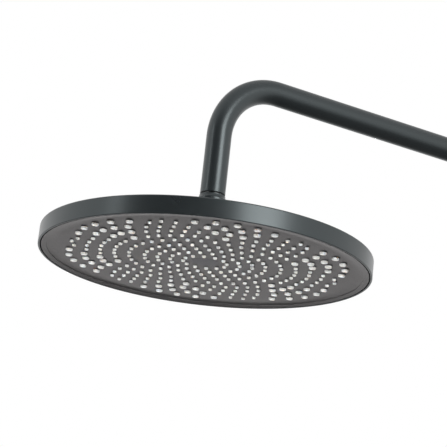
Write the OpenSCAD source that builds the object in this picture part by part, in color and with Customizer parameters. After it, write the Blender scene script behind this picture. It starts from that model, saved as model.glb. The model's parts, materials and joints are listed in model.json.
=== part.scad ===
// Overhead rain shower: a round spray head on a ball joint, hung from a bent wall arm.
// Millimetres, +Z up.  The origin is the centre of the arm's bore in the plane of the wall,
// the wall is the plane y = 0 with the room on its -Y side, and the arm runs along -Y.

/* [Arm] */
// Distance from the wall to the axis of the spray head
arm_reach = 400; // [300:1:500]
// Outer diameter of the arm tube
tube_d = 20; // [20:0.5:24]
// Wall thickness of the arm tube
tube_wall = 2; // [1.5:0.1:2.4]
// Radius of the arm's bend, on the tube's centreline
bend_r = 50; // [40:1:60]
// Length of the arm's straight leg below the bend
drop_leg = 48.6; // [30:0.1:110]

/* [Wall end] */
// Outer diameter of the G 1/2 pipe thread
thread_d = 20.955; // [20.955]
// Length of the thread behind the wall plane
thread_len = 17.5; // [12:0.5:25]
// How far the arm tube stops short of the wall plane
tube_setback = 2.5; // [2:0.5:3.5]
// Depth that the nipple is soldered into the tube
nipple_in_tube = 16; // [10:1:25]
// Bore of the wall nipple
nipple_bore = 12; // [10:0.5:13]
// Key width of the hexagon socket in the nipple
nipple_hex = 14; // [12:0.5:14]
// Outer diameter of the wall flange
flange_d = 62; // [55:1:80]
// Thickness of the wall flange
flange_t = 9; // [8:0.5:12]
// Depth of the hollow in the back of the flange
flange_hollow = 3.8; // [3:0.1:4]
// Width of the flange's rim round that hollow
flange_lip = 3.5; // [2.5:0.1:5]
// Radius of the flange's rounded front edge
flange_edge_r = 2; // [1:0.1:3]
// Section of the flange's O-ring
flange_oring_d = 1.8; // [1.5:0.1:2]

/* [Head] */
// Outer diameter of the head
head_d = 260; // [200:1:320]
// Height of the head's straight side wall
rim_h = 14; // [13.5:0.1:18]
// Rise of the domed back above the side wall
dome_h = 20; // [18.6:0.1:25]
// Thickness of the back shell
shell_t = 1.6; // [1.2:0.1:2]
// Rounding between the side wall and the dome
shell_edge_r = 1.2; // [0.8:0.1:2]
// Thickness of the flat pad that the neck collar clamps
pad_t = 2.2; // [2:0.1:3]
// Width of the shadow groove between the shell's lip and the face plate
rim_gap = 0.9; // [0.6:0.1:1.5]

/* [Face plate] */
// Thickness of the face plate
face_t = 2; // [1.6:0.1:2.5]
// Depth of the flat middle of the face above the lip's lowest face
face_recess = 2.45; // [2:0.05:3]
// Width of the raised border ring
border_w = 4.1; // [3:0.1:6]
// Height that the border ring stands above the lip's lowest face
border_rise = 0.3; // [0.2:0.1:0.6]
// Rise of the border ring's bevel across its width
border_bevel = 0.8; // [0.4:0.1:1]
// Step between the border ring and the dish inside it
border_step = 0.3; // [0.2:0.1:0.4]
// Width of the dished band inside the border ring
dish_w = 8.6; // [6:0.1:12]
// Thickness of the skirt that centres the face unit in the shell
skirt_t = 1.5; // [1.2:0.1:2]
// Height of the skirt's seat in the shell above the lip
skirt_seat = 9.2; // [8.6:0.1:11]
// Diameter of the bare disc in the middle of the face
badge_d = 20.4; // [16:0.1:24]
// Thickness of that disc
badge_t = 1.4; // [1:0.1:1.6]

/* [Nozzles] */
// Diameter of a small nozzle
small_d = 3.1; // [2.6:0.1:3.4]
// Diameter of a large nozzle
large_d = 5.5; // [4.5:0.1:5.8]
// Jet bore of a small nozzle
small_jet = 1; // [0.8:0.1:1.4]
// Jet bore of a large nozzle
large_jet = 1.4; // [1:0.1:2]
// How far the nozzles stand out of the face
nozzle_out = 1.35; // [1:0.05:1.5]
// Radius of the innermost ring of nozzles
first_ring_r = 17; // [16.5:0.1:19]
// Margin from the flat face's edge to the centre of the outermost nozzle
nozzle_margin = 4.7; // [3.5:0.1:8]
// Angle that the head is turned on its ball joint at rest
head_turn = 11.3; // [0:0.1:60]
// Thickness of the silicone nozzle mat
mat_t = 1.5; // [1.2:0.1:2]

/* [Water chamber] */
// Height of the water chamber above the mat
chamber_gap = 2.5; // [2:0.1:3]
// Thickness of the chamber plate
chamber_t = 2.5; // [2:0.1:3]
// Number of screws that join the chamber plate to the face plate
face_screw_n = 12; // [6:1:16]
// Thread diameter of those screws
face_screw_d = 2.9; // [2.5:0.1:3.2]
// Section of the chamber's O-ring
chamber_oring_d = 1.6; // [1.4:0.1:1.8]
// Number of stiffening ribs on the chamber plate
rib_n = 12; // [6:1:18]
// Thread diameter of the centre screw
centre_screw_d = 4; // [3.5:0.5:5]

/* [Ball joint] */
// Diameter of the ball
ball_d = 18; // [16:0.1:22]
// Height of the ball's underside above the back shell
ball_rise = 2; // [1:0.1:4]
// Diameter of the neck between ball and arm
stem_d = 11; // [10:0.1:11.6]
// Waterway through the ball and its stem
stem_bore = 7.2; // [6:0.1:8]
// Diameter of the thread that holds the stem in the arm
stem_thread_d = 13.16; // [13:0.02:13.2]
// Length of that thread
stem_thread_len = 13.4; // [12:0.1:16]
// Thickness of the friction liner round the ball
liner_t = 1.15; // [1:0.05:1.2]
// Visible gap between the arm's lower end and the neck collar
collar_gap = 1.2; // [1.2:0.1:2]
// Height of the arm's lower end above the top of the ball
stem_rise = 3.4; // [3.4:0.1:9]
// Wall of the collar's straight neck round the ball's seat
neck_wall = 2.29; // [2.2:0.01:4]
// Radius of the hollow curve at the collar's top
collar_top_r = 4.2; // [4:0.1:6]
// Radius of the hollow curve at the collar's foot
collar_foot_r = 13.5; // [10:0.1:14]
// Height of the collar's foot edge
collar_foot_h = 1.5; // [1:0.1:2]

/* [Fits] */
// Radial clearance of a turning or sliding fit
run_fit = 0.08; // [0.02:0.01:0.1]
// Gap between pieces that seat on each other
seat_fit = 0.05; // [0.02:0.01:0.1]
// Radial gap of an opening round a piece that passes through it
pass_fit = 0.25; // [0.2:0.05:0.4]

/* [Hidden] */

// Finish colours
coat = [0.17, 0.19, 0.19];
face_grey = [0.36, 0.36, 0.36];
silicone = [0.93, 0.93, 0.90];
brass = [0.80, 0.66, 0.36];
rubber = [0.08, 0.08, 0.08];
steel = [0.75, 0.76, 0.78];
resin = [0.55, 0.57, 0.60];

fine = 128;    // segments of a large circle
medium = 64;   // segments of a middling circle
coarse = 24;   // segments of a small circle
eps = 0.01;    // overshoot of a cut

// Head: radii and heights above the lip's lowest face, on the head's axis
head_r = head_d / 2;
shell_in_r = head_r - shell_t;
face_r = shell_in_r - rim_gap;
dish_r = face_r - border_w;
flat_r = dish_r - dish_w;
dish_edge_z = border_rise + border_bevel + border_step;
dish_depth = face_recess - dish_edge_z;
dish_curve_r = (dish_w * dish_w + dish_depth * dish_depth) / (2 * dish_depth);
face_back = face_recess + face_t;
mat_back = face_back + mat_t;
chamber_z = mat_back + chamber_gap;
chamber_top = chamber_z + chamber_t;
shell_top = rim_h + dome_h;
dome_r = (head_r * head_r + dome_h * dome_h) / (2 * dome_h);
dome_z = shell_top - dome_r;
edge_c_r = head_r - shell_edge_r;
edge_c_z = dome_z + sqrt(pow(dome_r - shell_edge_r, 2) - pow(edge_c_r, 2));
edge_tan_r = edge_c_r * dome_r / (dome_r - shell_edge_r);

// Nozzle rows: shares of the way from the first ring to the outermost row
row_share = [0, 0.108, 0.216, 0.324, 0.455, 0.594, 0.730, 0.865, 1];
ring_n = 5;                             // rows that are full rings of small nozzles
sectors = 6;                            // the pattern repeats six times round the face
sector_a = 360 / sectors;
last_row_r = flat_r - nozzle_margin;
row_span = last_row_r - first_ring_r;
fan_large_n = [1, 3, 4, 5];             // large nozzles in each outer row's fan
fan_large_pitch = [8, 7.15, 7.5, 8.15]; // degrees between them
fan_small_n = [6, 5, 4, 3];             // small nozzles in each outer row's fan
fan_small_pitch = [7.7, 7.3, 6.8, 5.7];
fan_small_in = [1.5, 3.2, 5.3, 5.3];    // how far the small fan lies inside the row
fan_sag = 0.0144;                       // a fan's ends lie this much further in, mm per square degree

function row_r(j) = first_ring_r + row_span * row_share[j];
function polar(r, a) = [r * cos(a), r * sin(a)];
function spread(i, n, pitch) = (i - (n - 1) / 2) * pitch;

small_at = [
    for (k = [0 : sectors - 1]) each concat(
        [for (j = [0 : ring_n - 1]) for (i = [0 : j + 1])
            polar(row_r(j), 90 + head_turn + k * sector_a + spread(i, j + 2, sector_a / (j + 2)))],
        [for (j = [0 : 3]) for (i = [0 : fan_small_n[j] - 1])
            let (d = spread(i, fan_small_n[j], fan_small_pitch[j]))
            polar(row_r(ring_n + j) - fan_small_in[j] - (j == 3 ? 6 * fan_sag * d * d : 0),
                  90 + head_turn + (k + 0.5) * sector_a + d)])];
large_at = [
    for (k = [0 : sectors - 1]) for (j = [0 : 3]) for (i = [0 : fan_large_n[j] - 1])
        let (d = spread(i, fan_large_n[j], fan_large_pitch[j]))
        polar(row_r(ring_n + j) - fan_sag * d * d, 90 + head_turn + k * sector_a + d)];

// Middle of the face unit
hub_r = 4.6;
centre_boss_r = 13;
centre_boss_top = mat_back + 0.6;
washer_t = 0.6;
screw_head_r = 4.2;
screw_head_t = 1.4;
cap_recess = badge_t + 0.1;
screw_seat_z = face_recess + cap_recess + screw_head_t + washer_t + 2 * seat_fit;
hub_top = chamber_top + 1;
key_w = 2.5;                            // key width of the centre screw's socket

// Seal round the chamber, and the screws outside it
mat_r = last_row_r + large_d / 2 + 1.2;
seal_wall = 0.8;
seal_in_r = mat_r + pass_fit;
seal_out_r = seal_in_r + 2 * seal_wall + chamber_oring_d + 2 * seat_fit;
post_r = 2.5;
post_pcd_r = seal_out_r + post_r + 0.3;
chamber_r = post_pcd_r + post_r + 0.2;

// Ball joint: heights above the lip's lowest face, and below them those above the ball's centre
ball_r = ball_d / 2;
ball_z = shell_top + ball_rise + ball_r;
tube_end_z = ball_z + ball_r + stem_rise;
cup_r = ball_r + run_fit;
liner_out_r = cup_r + liner_t;
collar_seat_r = liner_out_r + run_fit;
socket_neck_r = ball_r + 1.9;
collar_bore_r = socket_neck_r + 2 * run_fit;
collar_top_z = tube_end_z - collar_gap;
collar_tip_r = tube_d / 2 + 0.25;
tilt_room = 1.8;                        // space round the stem in which the head tilts
collar_hole_r = stem_d / 2 + tilt_room;
neck_r = max(collar_seat_r + neck_wall, collar_tip_r + 0.3);
cove_depth = neck_r - collar_tip_r;
cove_h = sqrt(pow(collar_top_r, 2) - pow(collar_top_r - cove_depth, 2));
foot_trim = 0.1;                        // cut off the collar foot's feather edge
pad_r = neck_r + collar_foot_r - foot_trim;
gasket_t = 0.8;
socket_flange_z = shell_top - pad_t - gasket_t;
socket_flange_t = 3.5;
socket_flange_r = pad_r - 3;
spigot_r = 9.5;
spigot_bore_r = 6.5;
spigot_z = hub_top + seat_fit;
spider_t = 6;
ball_flat = 1.4 - ball_r;               // the ball ends in a flat round the waterway
seal_low = 2.4 - ball_r;
seal_top = seal_low + 3.4;
seal_r = ball_r + 0.7;
seal_bore_r = ball_r - 2.6;
socket_rim = 0.2;
collar_bore_top = socket_rim + 0.8;
liner_low = collar_bore_top + 0.6;
liner_high = ball_r - 2.6;

// Arm, and the stem inside it
tube_r = tube_d / 2;
tube_in_r = tube_r - tube_wall;
arm_drop = tube_end_z + drop_leg + bend_r;
shoulder_in = 0.6;                      // how far the stem's shoulder lies inside the tube
shoulder_z = tube_end_z + shoulder_in;
shoulder_t = 2;
stem_thread_z = shoulder_z + shoulder_t;
stem_top = stem_thread_z + stem_thread_len;
bush_bore_r = stem_thread_d / 2 + seat_fit;
bush_top = stem_top + 4;
stem_oring_d = 1.4;
stem_groove_z = stem_thread_z + 1;
stem_groove_h = stem_oring_d + 0.3;
cartridge_r = stem_thread_d / 2 - 1.38;
regulator_t = 4;
screen_t = 1.5;

// Wall flange
flange_bore_r = max(thread_d / 2, tube_r) + pass_fit;
flange_oring_mid = tube_r + run_fit + flange_oring_d / 2;
flange_oring_y = (flange_t + flange_hollow) / 2;

// Inlet of the water chamber
inlet_oring_d = 1.8;
inlet_oring_z = spigot_z + 4.5;
boss_in_r = spigot_r + 2 * seat_fit;
boss_wall = 3;
boss_top = chamber_top + 10;

// ---------- placing ----------

module at_head() { translate([0, -arm_reach, -arm_drop]) children(); }
module at_ball() { at_head() translate([0, 0, ball_z]) children(); }
// draws along +Y what is modelled along +Z
module along_wall_axis() { rotate([-90, 0, 0]) children(); }

module ring2d(out_r, in_r) {
    difference() {
        circle(r = out_r, $fn = medium);
        circle(r = in_r, $fn = medium);
    }
}

// hub and three webs of a spider that spans a bore
module spider2d(hub, reach) {
    web_n = 3;
    web_t = 2.4;
    circle(r = hub, $fn = medium);
    for (i = [0 : web_n - 1]) rotate(i * 360 / web_n) translate([0, -web_t / 2]) square([reach, web_t]);
}

// a flat-ended pipe that stands on z = z0
module pipe(out_r, in_r, z0, h) {
    translate([0, 0, z0]) linear_extrude(h) ring2d(out_r, in_r);
}

module o_ring(mid_r, section_d) {
    rotate_extrude($fn = medium) translate([mid_r, 0]) circle(d = section_d, $fn = coarse);
}

// rectangle from r0 to r1 and from z0 to z1 in a profile
module band(r0, r1, z0, z1) { translate([r0, z0]) square([r1 - r0, z1 - z0]); }

// ---------- arm and wall end ----------

module arm_tube() {
    color(coat) {
        along_wall_axis() mirror([0, 0, 1])
            pipe(tube_r, tube_in_r, tube_setback, arm_reach - bend_r - tube_setback);
        translate([0, bend_r - arm_reach, -bend_r]) rotate([0, -90, 0]) rotate([0, 0, -90])
            rotate_extrude(angle = 90, $fn = fine) translate([bend_r, 0]) ring2d(tube_r, tube_in_r);
        at_head() pipe(tube_r, tube_in_r, tube_end_z, arm_drop - bend_r - tube_end_z);
    }
}

module wall_nipple() {
    socket_depth = 10;
    color(brass) along_wall_axis() difference() {
        union() {
            translate([0, 0, -tube_setback])
                cylinder(d = thread_d, h = tube_setback + thread_len, $fn = medium);
            translate([0, 0, -tube_setback - nipple_in_tube])
                cylinder(r = tube_in_r - seat_fit, h = nipple_in_tube + eps, $fn = medium);
        }
        translate([0, 0, -tube_setback - nipple_in_tube - eps])
            cylinder(d = nipple_bore, h = nipple_in_tube + tube_setback + thread_len + 2 * eps, $fn = medium);
        translate([0, 0, thread_len - socket_depth])
            cylinder(d = nipple_hex / cos(30), h = socket_depth + eps, $fn = 6);
    }
}

module wall_flange() {
    color(coat) along_wall_axis() mirror([0, 0, 1]) rotate_extrude($fn = fine) difference() {
        union() {
            band(flange_bore_r, flange_d / 2, 0, flange_t - flange_edge_r);
            band(flange_bore_r, flange_d / 2 - flange_edge_r, 0, flange_t);
            translate([flange_d / 2 - flange_edge_r, flange_t - flange_edge_r])
                circle(r = flange_edge_r, $fn = medium);
        }
        band(0, flange_d / 2 - flange_lip, -eps, flange_hollow);
        band(0, flange_oring_mid + flange_oring_d / 2 + seat_fit,
             flange_oring_y - flange_oring_d / 2 - seat_fit, flange_oring_y + flange_oring_d / 2 + seat_fit);
    }
}

module flange_oring() {
    color(rubber) translate([0, -flange_oring_y, 0]) along_wall_axis()
        o_ring(flange_oring_mid, flange_oring_d);
}

// ---------- joint between arm and head ----------

module arm_end_bush() {
    color(brass) at_head()
        pipe(tube_in_r - seat_fit, bush_bore_r, stem_thread_z + seat_fit, bush_top - stem_thread_z - seat_fit);
}

module ball_stem() {
    color(steel) at_head() difference() {
        union() {
            difference() {
                translate([0, 0, ball_z]) sphere(d = ball_d, $fn = fine);
                translate([0, 0, ball_z + ball_flat - ball_d]) cylinder(d = ball_d, h = ball_d, $fn = medium);
            }
            translate([0, 0, ball_z]) cylinder(d = stem_d, h = shoulder_z - ball_z + 1, $fn = medium);
            translate([0, 0, shoulder_z]) cylinder(r = tube_in_r - pass_fit, h = shoulder_t, $fn = medium);
            translate([0, 0, shoulder_z]) cylinder(d = stem_thread_d, h = stem_top - shoulder_z, $fn = medium);
        }
        translate([0, 0, ball_z - ball_d]) cylinder(d = stem_bore, h = 5 * ball_d, $fn = medium);
        translate([0, 0, stem_top - regulator_t - screen_t - 2 * seat_fit])
            cylinder(r = cartridge_r + seat_fit, h = 3 * regulator_t, $fn = medium);
        pipe(stem_thread_d, stem_thread_d / 2 + seat_fit - stem_oring_d, stem_groove_z, stem_groove_h);
    }
}

module stem_oring() {
    color(rubber) at_head() translate([0, 0, stem_groove_z + stem_groove_h / 2])
        o_ring(bush_bore_r - seat_fit - stem_oring_d / 2 + 0.03, stem_oring_d - 0.06);
}

// a cartridge whose star-shaped slots narrow as the pressure rises
module flow_regulator() {
    slots = 6;
    slot_d = 1.4;
    groove_out_r = cartridge_r - 1.3;
    groove_in_r = groove_out_r - slot_d - 0.2;
    color(resin) at_head()
        translate([0, 0, stem_top - regulator_t - screen_t - seat_fit]) difference() {
            cylinder(r = cartridge_r, h = regulator_t, $fn = medium);
            pipe(groove_out_r, groove_in_r, 1, regulator_t);
            for (i = [0 : slots - 1]) rotate(i * 360 / slots)
                translate([(groove_out_r + groove_in_r) / 2, 0, -eps]) cylinder(d = slot_d, h = 2, $fn = coarse);
        }
}

// strainer that keeps grit out of the regulator
module filter_screen() {
    rings = 2;
    hole_d = 1.2;
    wall = 0.7;
    floor_t = 0.5;
    hole_pitch = (cartridge_r - 2 * wall) / rings;
    color(steel) at_head() translate([0, 0, stem_top - screen_t]) difference() {
        cylinder(r = cartridge_r, h = screen_t - seat_fit, $fn = medium);
        translate([0, 0, floor_t]) cylinder(r = cartridge_r - wall, h = screen_t, $fn = medium);
        translate([0, 0, -eps]) cylinder(d = hole_d, h = screen_t, $fn = coarse);
        for (ring = [1 : rings]) for (i = [0 : 6 * ring - 1]) rotate(i * 60 / ring)
            translate([ring * hole_pitch, 0, -eps]) cylinder(d = hole_d, h = screen_t, $fn = coarse);
    }
}

// friction liner: a zone of a hollow sphere, so that ball and collar both turn on it
module ball_liner() {
    color(resin) at_ball() intersection() {
        difference() {
            sphere(r = liner_out_r, $fn = fine);
            sphere(r = cup_r, $fn = fine);
        }
        translate([0, 0, liner_low]) cylinder(r = ball_d, h = liner_high - liner_low, $fn = medium);
    }
}

module collar_outline() {
    foot_z = shell_top + collar_foot_h;
    cove_z = collar_top_z - cove_h;
    band(0, pad_r, shell_top, foot_z);
    band(0, neck_r, shell_top, cove_z);
    difference() {
        band(0, pad_r, foot_z - eps, foot_z + collar_foot_r);
        translate([pad_r + foot_trim, foot_z + collar_foot_r]) circle(r = collar_foot_r, $fn = fine);
        band(pad_r, head_r, 0, 2 * foot_z);
    }
    difference() {
        band(0, neck_r, cove_z - eps, collar_top_z);
        translate([collar_tip_r + collar_top_r, collar_top_z]) circle(r = collar_top_r, $fn = fine);
    }
}

// trumpet-shaped nut: clamps the shell to the socket and holds the ball down
module neck_collar() {
    color(coat) at_head() difference() {
        rotate_extrude($fn = fine) collar_outline();
        translate([0, 0, shell_top - eps])
            cylinder(r = collar_bore_r, h = ball_z + collar_bore_top - shell_top, $fn = fine);
        translate([0, 0, ball_z]) sphere(r = collar_seat_r, $fn = fine);
        translate([0, 0, ball_z]) cylinder(r = collar_hole_r, h = ball_d, $fn = fine);
    }
}

// turned housing under the ball; its spider takes the centre screw
module ball_socket() {
    flange_low = socket_flange_z - socket_flange_t;
    spider_top = spigot_z + spider_t;
    color(brass) at_head() difference() {
        union() {
            difference() {
                rotate_extrude($fn = fine) {
                    band(0, socket_neck_r, flange_low, ball_z + socket_rim);
                    band(0, socket_flange_r, flange_low, socket_flange_z);
                    band(0, spigot_r, spider_top - eps, flange_low + eps);
                }
                translate([0, 0, ball_z]) sphere(r = cup_r, $fn = fine);
                translate([0, 0, ball_z + seal_low])
                    cylinder(r = seal_r + seat_fit, h = seal_top - seal_low, $fn = medium);
                translate([0, 0, spigot_z]) cylinder(r = spigot_bore_r, h = ball_z - spigot_z, $fn = medium);
            }
            translate([0, 0, spigot_z]) linear_extrude(spider_t) difference() {
                union() {
                    ring2d(spigot_r, spigot_bore_r);
                    spider2d(hub_r - 1, spigot_bore_r + 1);
                }
                circle(r = centre_screw_d / 2 + seat_fit, $fn = coarse);
            }
        }
        pipe(2 * spigot_r, boss_in_r - inlet_oring_d - seat_fit,
             inlet_oring_z - inlet_oring_d / 2 - seat_fit, inlet_oring_d + 2 * seat_fit);
    }
}

module ball_seal() {
    color(rubber) at_ball() difference() {
        pipe(seal_r, seal_bore_r, seal_low + seat_fit, seal_top - seal_low - 2 * seat_fit);
        sphere(r = cup_r, $fn = fine);
    }
}

module socket_gasket() {
    color(rubber) at_head()
        pipe(socket_flange_r - 1, socket_neck_r + 2, socket_flange_z + 0.02, gasket_t - 0.04);
}

// ---------- head ----------

module dome_outline() {
    band(0, head_r, 0, edge_c_z);
    translate([edge_c_r, edge_c_z]) circle(r = shell_edge_r, $fn = medium);
    intersection() {
        translate([0, dome_z]) circle(r = dome_r, $fn = 720);
        band(0, edge_tan_r, rim_h - 2 * shell_edge_r, shell_top + 1);
    }
}

module dome_hollow() {
    band(0, shell_in_r, -eps, skirt_seat);
    intersection() {
        translate([0, dome_z]) circle(r = dome_r - shell_t, $fn = 720);
        band(0, shell_in_r - rim_gap - skirt_t + 0.2, -eps, shell_top);
    }
}

// spun back cover: side wall, lip, domed back and the seat for the face unit
module head_shell() {
    color(coat) at_head() rotate_extrude($fn = fine) difference() {
        union() {
            difference() {
                dome_outline();
                dome_hollow();
            }
            band(0, pad_r - 0.3, shell_top - pad_t, shell_top);
        }
        band(0, socket_neck_r + pass_fit, 0, 2 * shell_top);
        band(0, socket_flange_r + pass_fit, 0, shell_top - pad_t);
    }
}

// lid of the water chamber, with the inlet boss, ribs and screw flange
module chamber_plate() {
    rib_t = 1.6;
    rib_h = 3;
    rib_end_r = mat_r - 2;
    groove_top = face_back + chamber_oring_d + seat_fit;
    color(resin) at_head() difference() {
        union() {
            rotate_extrude($fn = fine) {
                band(boss_in_r, boss_in_r + boss_wall, chamber_top - eps, boss_top);
                difference() {
                    band(seal_in_r, seal_out_r, face_back + seat_fit, chamber_z + eps);
                    band(seal_in_r + seal_wall, seal_out_r - seal_wall, 0, groove_top);
                }
            }
            translate([0, 0, chamber_z]) linear_extrude(chamber_t) difference() {
                circle(r = chamber_r, $fn = fine);
                difference() {
                    circle(r = boss_in_r, $fn = fine);
                    rotate(60) spider2d(hub_r, boss_in_r + 1);
                }
                for (i = [0 : face_screw_n - 1]) rotate(i * 360 / face_screw_n)
                    translate([post_pcd_r, 0]) circle(d = face_screw_d + 0.5, $fn = coarse);
            }
            translate([0, 0, chamber_top - eps])
                cylinder(r = hub_r - 0.5, h = hub_top - chamber_top + eps, $fn = medium);
            for (i = [0 : rib_n - 1]) rotate((i + 0.5) * 360 / rib_n)
                translate([boss_in_r + boss_wall - 1, -rib_t / 2, chamber_top - eps])
                    cube([rib_end_r - boss_in_r - boss_wall + 1, rib_t, rib_h]);
        }
        translate([0, 0, chamber_z - eps]) cylinder(d = centre_screw_d + 0.6, h = 2 * chamber_t, $fn = coarse);
    }
}

module inlet_oring() {
    color(rubber) at_head() translate([0, 0, inlet_oring_z])
        o_ring(boss_in_r - inlet_oring_d / 2 - 0.02, inlet_oring_d - 0.04);
}

module chamber_oring() {
    color(rubber) at_head() translate([0, 0, face_back + chamber_oring_d / 2])
        o_ring((seal_in_r + seal_out_r) / 2, chamber_oring_d - 0.04);
}

// pan-head screws from the back of the chamber plate into the face plate's posts
module face_screws() {
    head_r_pan = 2.6;
    head_t_pan = 1.8;
    reach = chamber_top - face_back - 0.5;
    color(steel) at_head() for (i = [0 : face_screw_n - 1]) rotate(i * 360 / face_screw_n)
        translate([post_pcd_r, 0, chamber_top + 0.02]) difference() {
            union() {
                cylinder(r = head_r_pan, h = head_t_pan, $fn = coarse);
                translate([0, 0, -reach]) cylinder(d = face_screw_d, h = reach + eps, $fn = coarse);
            }
            for (a = [0, 90]) rotate(a)
                translate([-1.5, -0.3, head_t_pan - 0.9]) cube([3, 0.6, 1]);
        }
}

// holes or bodies of all nozzles of one size, as flat outlines
module nozzle_circles(points, d) {
    for (p = points) translate(p) circle(d = d, $fn = coarse);
}

// one silicone moulding: the mat, and every nozzle with its jet bore
module nozzle_mat() {
    tip_z = face_recess - nozzle_out;
    color(silicone) at_head() {
        translate([0, 0, face_back + 0.02]) linear_extrude(mat_t - 0.04) difference() {
            circle(r = mat_r, $fn = fine);
            circle(r = centre_boss_r + pass_fit, $fn = medium);
            nozzle_circles(small_at, small_jet);
            nozzle_circles(large_at, large_jet);
        }
        translate([0, 0, tip_z]) linear_extrude(face_back + 0.02 - tip_z) {
            difference() {
                nozzle_circles(small_at, small_d);
                nozzle_circles(small_at, small_jet);
            }
            difference() {
                nozzle_circles(large_at, large_d);
                nozzle_circles(large_at, large_jet);
            }
        }
    }
}

module face_outline() {
    difference() {
        union() {
            band(0, face_r, border_rise, face_back);
            band(face_r - skirt_t, face_r, border_rise, skirt_seat - seat_fit);
        }
        band(-eps, flat_r, 0, face_recess);
        intersection() {
            translate([flat_r, face_recess - dish_curve_r]) circle(r = dish_curve_r, $fn = 360);
            band(flat_r - eps, dish_r, 0, face_recess);
        }
        polygon([[dish_r - eps, border_rise + border_bevel], [face_r - 0.4, border_rise],
                 [face_r - 0.4, 0], [dish_r - eps, 0]]);
    }
}

// spray face: flat nozzle field, dished band, border ring, skirt and screw posts
module face_plate() {
    color(face_grey) at_head() difference() {
        union() {
            rotate_extrude($fn = fine) face_outline();
            translate([0, 0, face_back - eps])
                cylinder(r = centre_boss_r, h = centre_boss_top - face_back, $fn = medium);
            translate([0, 0, face_back]) cylinder(r = hub_r, h = chamber_z - seat_fit - face_back, $fn = medium);
            for (i = [0 : face_screw_n - 1]) rotate(i * 360 / face_screw_n)
                translate([post_pcd_r, 0, face_back - eps])
                    cylinder(r = post_r, h = chamber_z - face_back - seat_fit, $fn = coarse);
        }
        linear_extrude(face_back + eps) {
            nozzle_circles(small_at, small_d + 2 * pass_fit);
            nozzle_circles(large_at, large_d + 2 * pass_fit);
        }
        translate([0, 0, face_recess - eps]) cylinder(d = badge_d + 0.1, h = cap_recess + eps, $fn = medium);
        cylinder(r = screw_head_r + 0.3, h = screw_seat_z, $fn = medium);
        cylinder(d = centre_screw_d + 0.4, h = 2 * chamber_z, $fn = coarse);
        for (i = [0 : face_screw_n - 1]) rotate(i * 360 / face_screw_n)
            translate([post_pcd_r, 0, face_back - 0.6])
                cylinder(d = face_screw_d + 0.06, h = 2 * chamber_z, $fn = coarse);
    }
}

module centre_screw() {
    head_z = face_recess + cap_recess;
    color(steel) at_head() difference() {
        union() {
            translate([0, 0, head_z]) cylinder(r = screw_head_r, h = screw_head_t, $fn = medium);
            translate([0, 0, head_z])
                cylinder(d = centre_screw_d, h = spigot_z + spider_t - head_z, $fn = coarse);
        }
        translate([0, 0, head_z - eps]) cylinder(d = key_w / cos(30), h = 1.2, $fn = 6);
    }
}

module screw_washer() {
    color(rubber) at_head()
        pipe(screw_head_r, centre_screw_d / 2 + 0.1, screw_seat_z - seat_fit - washer_t, washer_t);
}

// bare disc that hides the centre screw
module centre_cap() {
    color(face_grey) at_head() translate([0, 0, face_recess - 0.1])
        cylinder(d = badge_d, h = badge_t, $fn = medium);
}

arm_tube();
wall_nipple();
wall_flange();
flange_oring();
arm_end_bush();
ball_stem();
stem_oring();
flow_regulator();
filter_screen();
ball_liner();
neck_collar();
ball_socket();
ball_seal();
socket_gasket();
head_shell();
chamber_plate();
inlet_oring();
chamber_oring();
face_screws();
nozzle_mat();
face_plate();
centre_screw();
screw_washer();
centre_cap();
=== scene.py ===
# %% [markdown]
# # An overhead rain shower on its wall arm
# A round spray head hangs from a bent tube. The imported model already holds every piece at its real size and
# place, so this lesson adds what the eye sees: smooth surfaces with soft edges, 306 silicone nozzles with
# their jets, a pipe thread, and the finish of every material. It ends with the camera and the light. The
# frame is loaded first and its box is kept, because the finished object has to fill the same box.

# %% Load the frame
import json
import math
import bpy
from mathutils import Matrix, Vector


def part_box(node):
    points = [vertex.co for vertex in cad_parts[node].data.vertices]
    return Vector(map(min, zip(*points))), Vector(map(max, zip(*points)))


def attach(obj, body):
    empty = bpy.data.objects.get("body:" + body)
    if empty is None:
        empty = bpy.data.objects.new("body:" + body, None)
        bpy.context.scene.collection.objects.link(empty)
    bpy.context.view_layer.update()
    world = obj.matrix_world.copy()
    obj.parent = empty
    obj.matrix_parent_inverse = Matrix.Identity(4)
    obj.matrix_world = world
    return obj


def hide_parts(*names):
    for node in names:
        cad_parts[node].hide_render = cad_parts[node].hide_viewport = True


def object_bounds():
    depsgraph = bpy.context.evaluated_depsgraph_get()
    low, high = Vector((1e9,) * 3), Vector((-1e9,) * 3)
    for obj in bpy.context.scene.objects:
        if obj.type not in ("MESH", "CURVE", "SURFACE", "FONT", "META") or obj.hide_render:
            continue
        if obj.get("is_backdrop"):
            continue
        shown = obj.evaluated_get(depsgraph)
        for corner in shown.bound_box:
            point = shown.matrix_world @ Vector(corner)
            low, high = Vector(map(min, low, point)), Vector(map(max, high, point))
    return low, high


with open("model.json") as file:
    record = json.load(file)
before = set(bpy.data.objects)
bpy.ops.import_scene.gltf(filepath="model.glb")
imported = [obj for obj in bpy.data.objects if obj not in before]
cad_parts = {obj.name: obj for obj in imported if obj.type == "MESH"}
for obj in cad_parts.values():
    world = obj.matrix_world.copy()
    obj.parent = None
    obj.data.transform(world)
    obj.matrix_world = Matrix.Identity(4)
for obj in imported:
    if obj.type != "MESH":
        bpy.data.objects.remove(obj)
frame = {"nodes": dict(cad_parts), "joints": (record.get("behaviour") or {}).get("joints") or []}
cad_low, cad_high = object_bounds()
print("packed model", [round(x, 4) for x in cad_high - cad_low], "m")

# %% [markdown]
# ## Tools and units
# numpy works out the surfaces as whole arrays, bmesh closes and measures them, and mathutils gives
# directions, turns and the triangles of flat outlines. The pieces' sizes are written in millimetres, as on
# a workshop drawing, and they become metres only when a piece is put in its place.

# %% Tools and units
import bpy
import bmesh
import numpy as np
from mathutils import Quaternion, Vector, geometry

MM = 0.001
TURN = 2 * math.pi

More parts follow.
